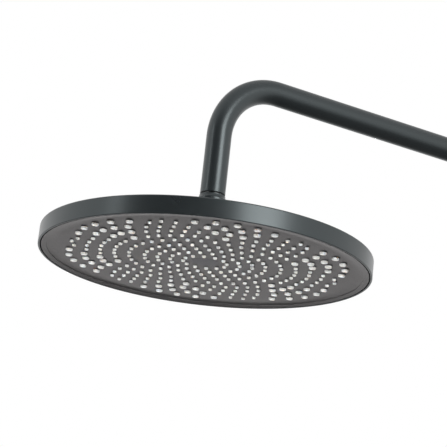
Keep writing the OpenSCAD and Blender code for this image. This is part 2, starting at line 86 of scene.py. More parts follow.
# %% [markdown]
# ## The places that everything is measured from
# The head turns on a ball joint, so the joint's place gives the head's axis. Heights on the head are counted
# from its lowest face, which the box of the back shell gives. Both could be typed in as numbers, but then the
# finished surfaces would stay behind if the model changed. Taken from the frame, they fit by themselves.

# %% Head axis and lowest face
def joint_place(name):
    """Where a joint's axis passes, in metres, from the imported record."""
    return next(joint for joint in frame["joints"] if joint["name"] == name)["pos_m"]


AXIS_X, AXIS_Y, BALL_Z = joint_place("head_tilt")
shell_low, shell_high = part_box("head_shell")
LIP_Z = shell_low.z
HEAD_R = round((shell_high.x - shell_low.x) / 2, 4) / MM
print("head axis", AXIS_X, AXIS_Y, "lowest face", round(LIP_Z, 5), "m, radius", HEAD_R, "mm")


def on_head(points):
    """Moves points given in mm about the head's axis, z counted from its lowest face, into the frame."""
    return np.asarray(points, float) * MM + np.array([AXIS_X, AXIS_Y, LIP_Z])


# %% [markdown]
# ## From numbers to a mesh
# Turned, pressed and drawn pieces are all surfaces of two parameters. A grid of points is worked out as one
# numpy array, and this helper joins neighbours in the grid to faces. A solid surface closes in both
# directions, so its rows and its columns wrap round and no seam is left. Each piece prints its volume, which
# is positive when the faces point outwards, and its count of open edges, which is 0 when it is closed.

# %% Mesh helpers
SAME_POINT = 1e-7                        # points nearer to each other than this, in metres, are one
CM3 = 1e6                                # cubic centimetres in a cubic metre


def grid_faces(rows, columns, wrap_rows=True, wrap_columns=True):
    """Four-sided faces between the neighbours of a rows x columns grid of points, numbered row by row."""
    index = np.arange(rows * columns).reshape(rows, columns)
    if wrap_rows:
        index = np.vstack([index, index[:1]])
    if wrap_columns:
        index = np.hstack([index, index[:, :1]])
    corners = [index[:-1, :-1], index[1:, :-1], index[1:, 1:], index[:-1, 1:]]
    return np.stack(corners, axis=-1).reshape(-1, 4)


def make_piece(name, points, face_lists, body, node, sharp=35):
    """A smooth-shaded mesh object from points in metres and arrays of faces, tied to its body; it hides its
    CAD node.
    Points that coincide are merged, which closes seams and poles, and then all faces are turned outwards.
    Edges that bend by more than sharp degrees stay sharp in the shading."""
    mesh = bpy.data.meshes.new(name)
    mesh.from_pydata(points.tolist(), [], [face for faces in face_lists for face in faces.tolist()])
    bm = bmesh.new()
    bm.from_mesh(mesh)
    bmesh.ops.remove_doubles(bm, verts=bm.verts, dist=SAME_POINT)
    bmesh.ops.recalc_face_normals(bm, faces=bm.faces)
    open_edges = sum(not edge.is_manifold for edge in bm.edges)
    volume = bm.calc_volume(signed=True)
    bm.to_mesh(mesh)
    bm.free()
    mesh.shade_smooth()
    mesh.set_sharp_from_angle(angle=math.radians(sharp))
    piece = bpy.data.objects.new(name, mesh)
    bpy.context.scene.collection.objects.link(piece)
    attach(piece, body)
    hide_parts(node)
    print(name, len(mesh.polygons), "faces,", open_edges, "open edges,", round(volume * CM3, 3), "cm3")
    return piece


# %% [markdown]
# ## Profiles with soft corners
# No moulded or coated edge is a perfect corner: a radius of a few tenths of a millimetre is what catches the
# light along a rim. A Bevel modifier could round the edges later, but it gives them all one radius. Here a
# profile is written as its corner points, each with its own radius, and every corner is swapped for an arc.
# One extra point just past each end of an arc keeps the flats beside it flat in shading.

# %% Profile helpers
CRISP, EASED, SOFT = 0.1, 0.2, 0.3       # edge radii in mm: inner corners, turned edges, edges to be held
MOST_OF_SIDE = 0.45                      # an arc takes no more than this share of the shorter side
EXTRA_BY_ARC, EXTRA_BY_SIDE = 0.3, 0.04  # the extra point lies past the arc by the smaller of two shares


def arc(centre, radius, start, end, steps):
    """Points on a circle about centre, from the start angle to the end angle in degrees."""
    angle = np.radians(np.linspace(start, end, steps + 1))
    return np.column_stack([centre[0] + radius * np.cos(angle), centre[1] + radius * np.sin(angle)])


def rounded(corners, steps=5):
    """A closed profile in mm. Each corner is (r, z, radius): an arc that touches both of its sides.
    The arc's centre lies on the corner's bisector at radius / sin(half angle)."""
    corners = np.asarray(corners, float)
    made = []
    for before, (*at, radius), after in zip(np.roll(corners, 1, 0), corners, np.roll(corners, -1, 0)):
        at = np.array(at)
        if radius == 0:
            made.append(at[None])
            continue
        u, v = before[:2] - at, after[:2] - at
        room = min(np.hypot(*u), np.hypot(*v))
        u, v = u / np.hypot(*u), v / np.hypot(*v)
        half = math.acos(np.clip(u @ v, -1, 1)) / 2
        reach = min(radius / math.tan(half), MOST_OF_SIDE * room)
        radius = reach * math.tan(half)
        centre = at + (u + v) / np.hypot(*(u + v)) * radius / math.sin(half)
        start, end = at + u * reach - centre, at + v * reach - centre
        sweep = math.pi - 2 * half
        t = np.linspace(0, 1, steps + 1)[:, None]
        bend = (np.sin((1 - t) * sweep) * start + np.sin(t * sweep) * end) / math.sin(sweep)
        extra = min(EXTRA_BY_ARC * reach, EXTRA_BY_SIDE * room)
        made += [(at + u * (reach + extra))[None], centre + bend, (at + v * (reach + extra))[None]]
    return np.vstack(made)


def plain(points):
    """Profile points that keep their corners: each gets the radius 0."""
    return [(r, z, 0.0) for r, z in points]


def revolve(profile, segments):
    """Turns a profile about the head's axis: (r cos a, r sin a, z) for every angle a."""
    angle = np.linspace(0, TURN, segments, endpoint=False)
    r, z = np.asarray(profile)[:, :1], np.asarray(profile)[:, 1:2]
    return np.stack([r * np.cos(angle), r * np.sin(angle), np.broadcast_to(z, (len(r), segments))], axis=-1)


def turned_piece(name, profile, body, segments, place=on_head, closed=True):
    """A solid of revolution. An outline that starts and ends on the axis isn't closed."""
    grid = place(revolve(profile, segments))
    faces = grid_faces(*grid.shape[:2], wrap_rows=closed)
    return make_piece(name + "_finished", grid.reshape(-1, 3), [faces], body, name)


# %% [markdown]
# ## The arm: one drawn tube
# The real arm is a straight tube bent once over a former, so its section stays a circle all along. It could
# be a curve with a round bevel, but then its two ends would be open. Here a closed outline of the wall, out
# along the outside, round the rim and back inside, is carried along the path: straight, a quarter circle,
# straight.

# %% Arm tube
TUBE_R, TUBE_WALL, BEND_R = 10.0, 2.0, 50.0
BORE_R = TUBE_R - TUBE_WALL
TUBE_SETBACK = 2.5                       # from the plane of the wall to the tube's end, out into the room
ARM_REACH = -AXIS_Y / MM
TUBE_END_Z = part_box("arm_tube")[0].z / MM
STRAIGHT = ARM_REACH - BEND_R - TUBE_SETBACK
BEND_END = STRAIGHT + BEND_R * math.pi / 2
ARM_LENGTH = BEND_END - BEND_R - TUBE_END_Z
RIM_R, INNER_RIM, RIM_STEPS = 0.4, 0.2, 4            # rounding of the tube's cut ends, outside and inside
FIRST_STATION = 0.6                                  # from each end of the tube to the nearest station
STRAIGHT_STATIONS, BEND_STATIONS, DROP_STATIONS = 30, 37, 6
TUBE_SEGMENTS = 72


def arm_path(s):
    """The arm's centreline at the length s from its wall end: along -Y, a quarter circle, then down. With
    it, the direction that points away from the bend's centre: up at first, and -Y in the end."""
    turn = np.clip((s - STRAIGHT) / BEND_R, 0, math.pi / 2)
    along = np.minimum(s, STRAIGHT)
    drop = np.maximum(s - STRAIGHT - BEND_R * math.pi / 2, 0)
    y = -TUBE_SETBACK - along - BEND_R * np.sin(turn)
    z = -BEND_R * (1 - np.cos(turn)) - drop
    zero = np.zeros_like(s)
    place = np.stack([zero, y, z], axis=-1)
    outward = np.stack([zero, -np.sin(turn), np.cos(turn)], axis=-1)
    return place, outward


def tube_outline():
    """The wall's closed outline, as lengths along the arm and radii: the wall end's rim, the outside, the
    lower end's rim, and back along the inside. Stations are about 12 mm apart, 2.5 degrees in the bend."""
    stations = np.concatenate([np.linspace(FIRST_STATION, STRAIGHT, STRAIGHT_STATIONS),
                               np.linspace(STRAIGHT, BEND_END, BEND_STATIONS)[1:],
                               np.linspace(BEND_END, ARM_LENGTH - FIRST_STATION, DROP_STATIONS)[1:]])
    rim = np.radians(np.linspace(0, 90, RIM_STEPS + 1))
    start_s = RIM_R - RIM_R * np.sin(rim[::-1])
    end_s = ARM_LENGTH - RIM_R + RIM_R * np.sin(rim)
    end_r = TUBE_R - RIM_R + RIM_R * np.cos(rim)
    outside, inside = np.full(len(stations), TUBE_R), np.full(len(stations), BORE_R)
    lengths = [start_s, stations, end_s, [ARM_LENGTH, ARM_LENGTH - INNER_RIM], stations[::-1], [INNER_RIM, 0]]
    radii = [end_r[::-1], outside, end_r, [BORE_R + INNER_RIM, BORE_R], inside, [BORE_R, BORE_R + INNER_RIM]]
    return np.concatenate(lengths), np.concatenate(radii)


outline_s, outline_r = tube_outline()
place, outward = arm_path(outline_s)
around = np.linspace(0, TURN, TUBE_SEGMENTS, endpoint=False)[None, :, None]
spokes = np.cos(around) * outward[:, None] + np.sin(around) * np.array([1.0, 0, 0])
arm_grid = (place[:, None] + outline_r[:, None, None] * spokes) * MM
arm = make_piece("arm_tube_finished", arm_grid.reshape(-1, 3), [grid_faces(*arm_grid.shape[:2])],
                 "arm", "arm_tube")

# %% [markdown]
# ## The back shell
# The shell is spun from sheet: a straight side wall, a tight corner and a shallow dome that rises to the pad
# under the collar. Its lower lip is trimmed to a narrow rounded edge, the thin line round the head. A
# subdivided cage would only come near these curves, and the dome is part of a true sphere. So the outline
# is walked once round the wall, outside up and inside down, and the closed outline is turned about the axis.

# %% Back shell
RIM_H, DOME_H = 14.0, 20.0               # height of the side wall, and of the dome above it
SHELL_T, SHELL_EDGE_R, LIP_EDGE = 1.6, 1.2, 0.5
PAD_R, PAD_T = 25.7, 2.2                 # the flat pad under the collar
SHELL_BORE_R = 11.15
SKIRT_SEAT, SEAT_R = 9.2, 126.2          # the step inside that the face plate's skirt comes up to
SHELL_TOP = RIM_H + DOME_H
DOME_R = (HEAD_R**2 + DOME_H**2) / (2 * DOME_H)
DOME_C = SHELL_TOP - DOME_R
WALL_LOW, WALL_HIGH, DOME_LOW = 3.0, 0.6, 1.5        # the flat wall's ends, and the dome's first step in
CORNER_ROWS, DOME_ROWS, HOLLOW_ROWS, SHELL_SEGMENTS = 8, 40, 32, 320


def dome_height(r, radius):
    """Height of a sphere about the dome's centre at the distance r from the axis."""
    return DOME_C + np.sqrt(radius**2 - np.asarray(r, float)**2)


def shell_profile():
    """Lip, side wall, corner arc, dome, pad and bore outside; pad, hollow dome, seat and wall inside."""
    corner_r = HEAD_R - SHELL_EDGE_R
    corner_z = DOME_C + math.sqrt((DOME_R - SHELL_EDGE_R)**2 - corner_r**2)
    lean = math.degrees(math.atan2(corner_z - DOME_C, corner_r))
    outer = np.linspace(corner_r * DOME_R / (DOME_R - SHELL_EDGE_R) - DOME_LOW, PAD_R, DOME_ROWS)
    hollow_r = math.sqrt((DOME_R - SHELL_T)**2 - (SHELL_TOP - PAD_T - DOME_C)**2)
    inner = np.linspace(hollow_r, SEAT_R, HOLLOW_ROWS)
    wall_r = HEAD_R - SHELL_T
    return rounded(
        [(wall_r, 0, SOFT), (HEAD_R, 0, LIP_EDGE), (HEAD_R, WALL_LOW, 0), (HEAD_R, corner_z - WALL_HIGH, 0)]
        + plain(arc((corner_r, corner_z), SHELL_EDGE_R, 0, lean, CORNER_ROWS))
        + plain(np.column_stack([outer, dome_height(outer, DOME_R)]))
        + [(PAD_R, SHELL_TOP, EASED), (SHELL_BORE_R, SHELL_TOP, EASED)]
        + [(SHELL_BORE_R, SHELL_TOP - PAD_T, EASED)]
        + plain(np.column_stack([inner, dome_height(inner, DOME_R - SHELL_T)]))
        + [(SEAT_R, SKIRT_SEAT, CRISP), (wall_r, SKIRT_SEAT, CRISP), (wall_r, WALL_LOW, 0)])


shell = turned_piece("head_shell", shell_profile(), "head", SHELL_SEGMENTS)

# %% [markdown]
# ## The neck collar
# The trumpet-shaped nut that holds the ball is turned: a sharp foot edge, a wide hollow curve up to the neck,
# and a small one that narrows to the width of the arm. Its outline could be points picked by eye, but hollow
# curves cut by a form tool are arcs, so they are written as arcs. Inside lies the seat of the friction liner,
# part of a sphere about the ball's centre.

# %% Neck collar
BALL_H = (BALL_Z - LIP_Z) / MM
COLLAR_TOP = round(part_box("neck_collar")[1].z / MM - LIP_Z / MM, 2)
NECK_R, TIP_R, HOLE_R, COLLAR_BORE_R = 12.6, 10.25, 7.3, 11.06
FOOT_R, FOOT_H = 26.0, 1.5
FOOT_COVE, FOOT_COVE_FROM = 13.5, 268    # the wide hollow curve's radius, and the degrees at its foot
TOP_COVE, TOP_COVE_TO = 4.2, 181         # the small one's, and the degrees where it meets the tip
COLLAR_SEAT_R, SEAT_FOOT = 10.31, 1.0    # the seat's sphere, and how far above the ball's centre it ends
FOOT_COVE_ROWS, TOP_COVE_ROWS, SEAT_ROWS, COLLAR_SEGMENTS = 18, 12, 8, 128


def collar_profile():
    """Foot, foot cove, neck, top cove and tip outside; hole, spherical seat and bore inside."""
    foot_z = SHELL_TOP + FOOT_H
    cove_start = 180 + math.degrees(math.acos((TIP_R + TOP_COVE - NECK_R) / TOP_COVE))
    seat_top = math.degrees(math.acos(HOLE_R / COLLAR_SEAT_R))
    seat_foot = math.degrees(math.asin(SEAT_FOOT / COLLAR_SEAT_R))
    return rounded(
        [(COLLAR_BORE_R, SHELL_TOP, EASED), (FOOT_R, SHELL_TOP, EASED), (FOOT_R, foot_z, SOFT)]
        + plain(arc((NECK_R + FOOT_COVE, foot_z + FOOT_COVE), FOOT_COVE, FOOT_COVE_FROM, 180, FOOT_COVE_ROWS))
        + plain(arc((TIP_R + TOP_COVE, COLLAR_TOP), TOP_COVE, cove_start, TOP_COVE_TO, TOP_COVE_ROWS))
        + [(TIP_R, COLLAR_TOP, EASED), (HOLE_R, COLLAR_TOP, SOFT)]
        + plain(arc((0, BALL_H), COLLAR_SEAT_R, seat_top, seat_foot, SEAT_ROWS))
        + [(COLLAR_BORE_R, BALL_H + SEAT_FOOT, 0)])


collar = turned_piece("neck_collar", collar_profile(), "head", COLLAR_SEGMENTS)

# %% [markdown]
# ## The wall flange
# The cover flange is a turned disc with a rounded front edge and a hollow back, which slides along the arm
# and hides the hole in the wall. Inside its bore is the groove of its O-ring. A cylinder with a bevel would
# do for its front, but the hollow and the groove are turned too, so one outline gives all of it.

# %% Wall flange
FLANGE_R, FLANGE_T, FLANGE_EDGE = 31.0, 9.0, 2.0
FLANGE_BORE_R, FLANGE_BORE_EDGE = 10.73, 0.4
FLANGE_HOLLOW_R, FLANGE_HOLLOW, HOLLOW_EDGE = 27.5, 3.8, 0.5
RING_SEAT_R, RING_SEAT_LOW, RING_SEAT_HIGH = 11.93, 5.45, 7.35
FLANGE_SEGMENTS = 160


def on_wall(points):
    """Turns points about +Z in mm so that +Z points from the wall into the room, along the arm."""
    x, y, z = np.moveaxis(np.asarray(points, float), -1, 0)
    return np.stack([x, -z, y], axis=-1) * MM


flange_profile = rounded([
    (FLANGE_HOLLOW_R, 0, SOFT), (FLANGE_R, 0, SOFT), (FLANGE_R, FLANGE_T, FLANGE_EDGE),
    (FLANGE_BORE_R, FLANGE_T, FLANGE_BORE_EDGE), (FLANGE_BORE_R, RING_SEAT_HIGH, CRISP),
    (RING_SEAT_R, RING_SEAT_HIGH, CRISP), (RING_SEAT_R, RING_SEAT_LOW, CRISP),
    (FLANGE_BORE_R, RING_SEAT_LOW, CRISP), (FLANGE_BORE_R, FLANGE_HOLLOW, EASED),
    (FLANGE_HOLLOW_R, FLANGE_HOLLOW, HOLLOW_EDGE)], steps=8)
flange = turned_piece("wall_flange", flange_profile, "flange", FLANGE_SEGMENTS, on_wall)

# %% [markdown]
# ## The wall nipple and its pipe thread
# The nipple is soldered into the arm and screws into the wall. A thread could be a profile swept along a
# helix and cut from a cylinder. But it is a groove that climbs one pitch in each turn, so its radius depends
# only on where a point lies between two crests: the height over the pitch plus the angle's share of a turn.
# That makes the whole thread one formula on the grid, and the hexagon for the fitter's key is another.

# %% Wall nipple
THREAD_R, THREAD_PITCH, THREAD_DEPTH = 10.4775, 1.814, 1.1
THREAD_LEN, THREAD_STOP, LEAD_IN = 17.5, 1.0, 0.8
ROWS_PER_PITCH, CREST_CUT = 8, 1.3       # a cosine this tall is cut off at 1, which flattens crests and roots
SHANK_END, SHANK_R, SHANK_EDGE = 18.5, 7.95, 0.5
NIPPLE_BORE_R, NIPPLE_SEGMENTS = 6.0, 96
HEX_HALF, HEX_DEPTH = 7.0, 10.0


def nipple_grid(columns):
    """Rows of points in mm about +Z. The thread's radius is its crest less the depth times a clipped cosine
    of the phase height / pitch + angle / turn, faded out over one pitch at both ends. In a row (radius,
    height) the radius is one number, or one for every angle."""
    angle = np.linspace(0, TURN, columns, endpoint=False)
    height = np.arange(-THREAD_LEN, TUBE_SETBACK, THREAD_PITCH / ROWS_PER_PITCH)
    phase = height[:, None] / THREAD_PITCH + angle / TURN
    fade_in = np.clip((height + THREAD_LEN) / THREAD_PITCH, 0, 1)
    fade_out = np.clip((TUBE_SETBACK - THREAD_STOP - height) / THREAD_PITCH, 0, 1)
    groove = THREAD_DEPTH * (0.5 - 0.5 * np.clip(CREST_CUT * np.cos(TURN * phase), -1, 1))
    lead_in = LEAD_IN * np.clip(1 - (height + THREAD_LEN), 0, 1)
    thread = THREAD_R - groove * (fade_in * fade_out)[:, None] - lead_in[:, None]
    hexagon = HEX_HALF / np.cos((angle + math.pi / 6) % (math.pi / 3) - math.pi / 6)
    socket_floor = HEX_DEPTH - THREAD_LEN
    rows = [*zip(thread, height), (THREAD_R, TUBE_SETBACK), (SHANK_R, TUBE_SETBACK),
            (SHANK_R, SHANK_END - SHANK_EDGE), (SHANK_R - SHANK_EDGE, SHANK_END),
            (NIPPLE_BORE_R + SOFT, SHANK_END), (NIPPLE_BORE_R, SHANK_END - SOFT),
            (NIPPLE_BORE_R, socket_floor), (hexagon, socket_floor), (hexagon, -THREAD_LEN)]
    r = np.array([np.broadcast_to(radius, columns) for radius, _ in rows])
    h = np.array([[level] for _, level in rows])
    return np.stack([r * np.cos(angle), r * np.sin(angle), np.broadcast_to(h, r.shape)], axis=-1)


nipple_points = on_wall(nipple_grid(NIPPLE_SEGMENTS))
nipple_faces = grid_faces(*nipple_points.shape[:2])
nipple = make_piece("wall_nipple_finished", nipple_points.reshape(-1, 3), [nipple_faces],
                    "arm", "wall_nipple", sharp=50)

# %% [markdown]
# ## Where the nozzles are
# The face repeats every 60 degrees. Five rows near the middle are full rings: two nozzles per sector in the
# first, and one more in each next ring. Further out the rows break into fans: large nozzles in the middle of
# a sector and small ones between sectors, each large fan sagging a little towards the middle at its ends.
# The 306 places could be typed in as a list, but the rule is shorter and shows how the pattern was drawn.

# %% Nozzle places
FLAT_R = 114.8                           # the plate's flat field
NOZZLE_MARGIN = 4.7                      # from the last row to the flat's edge
FIRST_ROW, LAST_ROW = 17.0, FLAT_R - NOZZLE_MARGIN
ROW_SHARE = np.array([0, 0.108, 0.216, 0.324, 0.455, 0.594, 0.730, 0.865, 1])
ROW_R = FIRST_ROW + (LAST_ROW - FIRST_ROW) * ROW_SHARE
FULL_RINGS = 5
SECTORS, SECTOR = 6, 60.0
PATTERN_START = 90 + 11.3                # degrees: from +Y, and the head rests turned by a little
LARGE_FAN = [(1, 8.0), (3, 7.15), (4, 7.5), (5, 8.15)]               # count, degrees between them
SMALL_FAN = [(6, 7.7, 1.5), (5, 7.3, 3.2), (4, 6.8, 5.3), (3, 5.7, 5.3)]     # and mm inside the row
FAN_SAG, LAST_SMALL_SAG = 0.0144, 6      # mm per square degree, and how many times that in the last small fan


def spread(count, pitch):
    """count angles, pitch degrees apart, centred on 0."""
    return (np.arange(count) - (count - 1) / 2) * pitch


def in_all_sectors(radius, angle):
    """Points at those radii and angles from the middle of a sector, in each of the sectors."""
    turned = np.radians(PATTERN_START + angle[None] + SECTOR * np.arange(SECTORS)[:, None])
    return np.stack([radius * np.cos(turned), radius * np.sin(turned)], axis=-1).reshape(-1, 2)


def nozzle_places():
    """Centres of the small and of the large nozzles, in mm about the head's axis."""
    small, large = [], []
    for ring in range(FULL_RINGS):
        count = ring + 2
        small.append(in_all_sectors(ROW_R[ring] * np.ones(count), spread(count, SECTOR / count)))
    for row, (count, pitch, inward) in zip(ROW_R[FULL_RINGS:], SMALL_FAN):
        angle = spread(count, pitch)
        sag = LAST_SMALL_SAG * FAN_SAG * angle**2 if row == ROW_R[-1] else 0 * angle
        small.append(in_all_sectors(row - inward - sag, angle + SECTOR / 2))
    for row, (count, pitch) in zip(ROW_R[FULL_RINGS:], LARGE_FAN):
        angle = spread(count, pitch)
        large.append(in_all_sectors(row - FAN_SAG * angle**2, angle))
    return np.vstack(small), np.vstack(large)


small_at, large_at = nozzle_places()
print(len(small_at), "small and", len(large_at), "large nozzles")

# %% [markdown]
# ## A flat sheet full of holes
# Boolean cuts of 306 cylinders are slow and leave ragged faces. Blender can triangulate flat outlines
# instead: every hole's circle goes in as a closed loop of edges, and the triangles that lie inside a
# hole are dropped afterwards. Those are the triangles whose three corners belong to one hole.

# %% Sheet and shaft helpers
SAME_CORNER = 1e-7                       # outline points nearer to each other than this, in mm, are one


def loops(centres, radius, segments):
    """One circle of points round each centre: centre + radius (cos a, sin a)."""
    angle = np.linspace(0, TURN, segments, endpoint=False)
    circle = radius * np.stack([np.cos(angle), np.sin(angle)], axis=-1)
    return np.asarray(centres, float).reshape(-1, 1, 2) + circle


def sheet(outer, holes, z):
    """Points and triangles of the flat sheet at height z between the outer loop and all the holes' loops.
    Each point's edge runs to the next point of its own loop, and from the last one back to the first."""
    parts = [outer] + [loop for group in holes for loop in group]
    counts = [len(part) for part in parts]
    flat = np.vstack(parts)
    index = np.arange(len(flat))
    following = np.concatenate([np.roll(run, -1) for run in np.split(index, np.cumsum(counts)[:-1])])
    edges = np.column_stack([index, following]).tolist()
    corners = [Vector(point) for point in flat]
    made, _, triangles, source, *_ = geometry.delaunay_2d_cdt(corners, edges, [], 0, SAME_CORNER)
    owner = np.repeat(np.arange(len(parts)), counts)[[first for first, *_ in source]]
    triangles = np.array(triangles)
    one_loop = (owner[triangles] == owner[triangles[:, :1]]).all(1)
    kept = triangles[~one_loop | (owner[triangles[:, 0]] == 0)]
    points = np.column_stack([np.array([tuple(point) for point in made]), np.full(len(made), z)])
    return points, kept


def shafts(centres, profile, segments):
    """The same open profile (r, z) turned about each centre: points, and faces between its rings."""
    rings = np.stack([loops(centres, r, segments) for r, _ in profile], axis=1)
    levels = np.array([z for _, z in profile])[None, :, None, None]
    points = np.concatenate([rings, np.broadcast_to(levels, rings.shape[:3] + (1,))], axis=-1)
    count, rows = points.shape[:2]
    one = grid_faces(rows, segments, wrap_rows=False)
    faces = one[None] + (np.arange(count) * rows * segments)[:, None, None]
    return points.reshape(-1, 3), faces.reshape(-1, 4)


def band(profile, segments):
    """An open profile turned about the head's axis: points, and faces between its rings."""
    grid = revolve(profile, segments)
    return grid.reshape(-1, 3), grid_faces(len(grid), segments, wrap_rows=False)


def joined(parts):
    """Points of several parts in one array, and their faces numbered to match."""
    starts = np.cumsum([0] + [len(points) for points, _ in parts])
    return np.vstack([points for points, _ in parts]), [faces + s for (_, faces), s in zip(parts, starts)]


# %% [markdown]
# ## The face plate
# The plate is one moulding: a flat field with the nozzle holes, a dish that curves down to the border ring,
# the bevelled ring itself, and a skirt that centres it in the shell. The dish is an arc that leaves the
# flat without a kink, which is what makes its shading fade out. Flat sheets and turned bands share their
# circles of points, so they merge to one closed solid. Posts and hub on the back are made the same way.

# %% Face plate sizes
FACE_Z, FACE_BACK = 2.45, 4.45           # front and back of the flat field
FACE_R, DISH_R = 127.5, 123.4
BORDER_FOOT, BORDER_TOP, DISH_EDGE = 0.3, 1.1, 1.4
BORDER_LAND, BORDER_EDGE = 0.4, 0.12     # the ring's flat foot, and the radius of its edges
SKIRT_R, SKIRT_TOP = 126.0, 9.15
BADGE_R, BADGE_FLOOR = 10.25, 3.95       # the recess for the middle disc
BOSS_R, BOSS_TOP, HUB_R, HUB_TOP = 13.0, 6.55, 4.6, 8.4
SCREW_WELL_R, SCREW_SEAT, SCREW_BORE_R = 4.5, 6.05, 2.2
SMALL_R, LARGE_R = 1.55, 2.75            # the nozzles
HOLE_GAP, HOLE_EDGE = 0.25, 0.12         # the air round a nozzle, and the bevel of its hole
POST_R, POST_TOP, POST_BORE_R, POST_FLOOR = 2.5, 8.39, 1.48, 3.85
POST_RING_R, POSTS = 120.4, 12
FLAT_SUPPORT = 0.02                      # keeps the flat's shading flat where the dish begins
RIM_SEGMENTS, HUB_SEGMENTS, NOZZLE_SEGMENTS = 320, 64, 16


def dish_curve():
    """The arc from the flat's edge to the border ring. It is tangent to the flat, so its centre is
    straight below the flat's edge, at the radius (width^2 + depth^2) / (2 depth)."""
    width, depth = DISH_R - FLAT_R, FACE_Z - DISH_EDGE
    radius = (width**2 + depth**2) / (2 * depth)
    end = math.degrees(math.acos(width / radius))
    return arc((FLAT_R, FACE_Z - radius), radius, 90, end, 16)


print("the dish is", round(DISH_R - FLAT_R, 2), "mm wide and", round(FACE_Z - DISH_EDGE, 2), "mm deep")

# %% Face plate
middle = [(0, 0)]
edge_band = rounded(
    [(FLAT_R, FACE_Z, 0), (FLAT_R + FLAT_SUPPORT, FACE_Z, 0)] + plain(dish_curve()[1:-1])
    + [(DISH_R, DISH_EDGE, BORDER_EDGE), (DISH_R, BORDER_TOP, BORDER_EDGE),
       (FACE_R - BORDER_LAND, BORDER_FOOT, CRISP), (FACE_R, BORDER_FOOT, BORDER_EDGE),
       (FACE_R, SKIRT_TOP, EASED), (SKIRT_R, SKIRT_TOP, EASED), (SKIRT_R, FACE_BACK, 0)])
hub_band = rounded([
    (BADGE_R, FACE_Z, 0), (BADGE_R, BADGE_FLOOR, 0), (SCREW_WELL_R, BADGE_FLOOR, CRISP),
    (SCREW_WELL_R, SCREW_SEAT, 0), (SCREW_BORE_R, SCREW_SEAT, 0), (SCREW_BORE_R, HUB_TOP, 0),
    (HUB_R, HUB_TOP, EASED), (HUB_R, BOSS_TOP, EASED),
    (BOSS_R, BOSS_TOP, SOFT), (BOSS_R, FACE_BACK, 0)], steps=3)
post_at = loops(middle, POST_RING_R, POSTS)[0]
post_shaft = [(POST_R, FACE_BACK), (POST_R, POST_TOP), (POST_BORE_R, POST_TOP),
              (POST_BORE_R, POST_FLOOR), (0, POST_FLOOR)]
holes = [(small_at, SMALL_R + HOLE_GAP), (large_at, LARGE_R + HOLE_GAP)]
front = sheet(loops(middle, FLAT_R, RIM_SEGMENTS)[0],
              [loops(middle, BADGE_R, HUB_SEGMENTS)]
              + [loops(at, r + HOLE_EDGE, NOZZLE_SEGMENTS) for at, r in holes], FACE_Z)
back = sheet(loops(middle, SKIRT_R, RIM_SEGMENTS)[0],
             [loops(middle, BOSS_R, HUB_SEGMENTS), loops(post_at, POST_R, NOZZLE_SEGMENTS)]
             + [loops(at, r, NOZZLE_SEGMENTS) for at, r in holes], FACE_BACK)
hole_walls = [
    shafts(at, [(r + HOLE_EDGE, FACE_Z), (r, FACE_Z + HOLE_EDGE), (r, FACE_BACK)], NOZZLE_SEGMENTS)
    for at, r in holes]
points, faces = joined([band(edge_band, RIM_SEGMENTS), band(hub_band, HUB_SEGMENTS), front, back,
                        *hole_walls, shafts(post_at, post_shaft, NOZZLE_SEGMENTS)])
face_plate = make_piece("face_plate_finished", on_head(points), faces, "head", "face_plate")

# %% [markdown]
# ## The nozzle mat
# All nozzles are one silicone moulding: a mat behind the plate with a nipple through each hole. A thumb
# rubs limescale off them, so they are soft, rounded at the tip and stand out a little. One nozzle could be
# copied 306 times as an object, but the real mat is one piece. Here each is an open profile turned about its
# own centre, from the mat's front over the tip and back through the jet to the mat's far side. With so many
# of them, one nozzle keeps to a few dozen faces.

# %% Nozzle mat
MAT_FRONT, MAT_BACK, MAT_R, MAT_BORE_R = 4.47, 5.93, 114.05, 13.25
TIP_Z, TAPER, DIMPLE_W, DIMPLE_DEPTH = 1.1, 0.06, 0.1, 0.15
SHOULDER_TURN, SHOULDER_SHARE = [0, 35, 65, 90], 0.75        # degrees round the ellipse, height over width


def nozzle(radius, jet, shoulder):
    """Side wall with a slight taper, an elliptic shoulder, the tip's dimple, and the jet to the back."""
    turn = np.radians(SHOULDER_TURN)
    r = radius - TAPER - shoulder + shoulder * np.cos(turn)
    z = TIP_Z + SHOULDER_SHARE * shoulder * (1 - np.sin(turn))
    dimple = [(jet + DIMPLE_W, TIP_Z), (jet, TIP_Z + DIMPLE_DEPTH)]
    return [(radius, MAT_FRONT), *zip(r, z), *dimple, (jet, MAT_BACK)]


kinds = [(small_at, SMALL_R, 0.4, 0.5), (large_at, LARGE_R, 0.6, 0.75)]      # places, radius, jet, shoulder
mat_bore = [loops(middle, MAT_BORE_R, HUB_SEGMENTS)]
mat_edge = loops(middle, MAT_R, RIM_SEGMENTS)[0]
feet = [loops(at, r, NOZZLE_SEGMENTS) for at, r, _, _ in kinds]
jets = [loops(at, jet, NOZZLE_SEGMENTS) for at, _, jet, _ in kinds]
mat_front = sheet(mat_edge, mat_bore + feet, MAT_FRONT)
mat_back = sheet(mat_edge, mat_bore + jets, MAT_BACK)
nipples = [shafts(at, nozzle(r, jet, shoulder), NOZZLE_SEGMENTS) for at, r, jet, shoulder in kinds]
points, faces = joined([mat_front, mat_back, band([(MAT_R, MAT_FRONT), (MAT_R, MAT_BACK)], RIM_SEGMENTS),
                        band([(MAT_BORE_R, MAT_FRONT), (MAT_BORE_R, MAT_BACK)], HUB_SEGMENTS), *nipples])
nozzle_mat = make_piece("nozzle_mat_finished", on_head(points), faces,
                        "head", "nozzle_mat", sharp=60)

# %% [markdown]
# ## The centre disc
# A plain disc fills the middle of the face and hides the screw that holds the face unit. It could be a
# cylinder with a bevel, but its front edge is softer than its back edge, so it is turned from an outline too.
# The outline starts and ends on the axis, where its points merge to one.

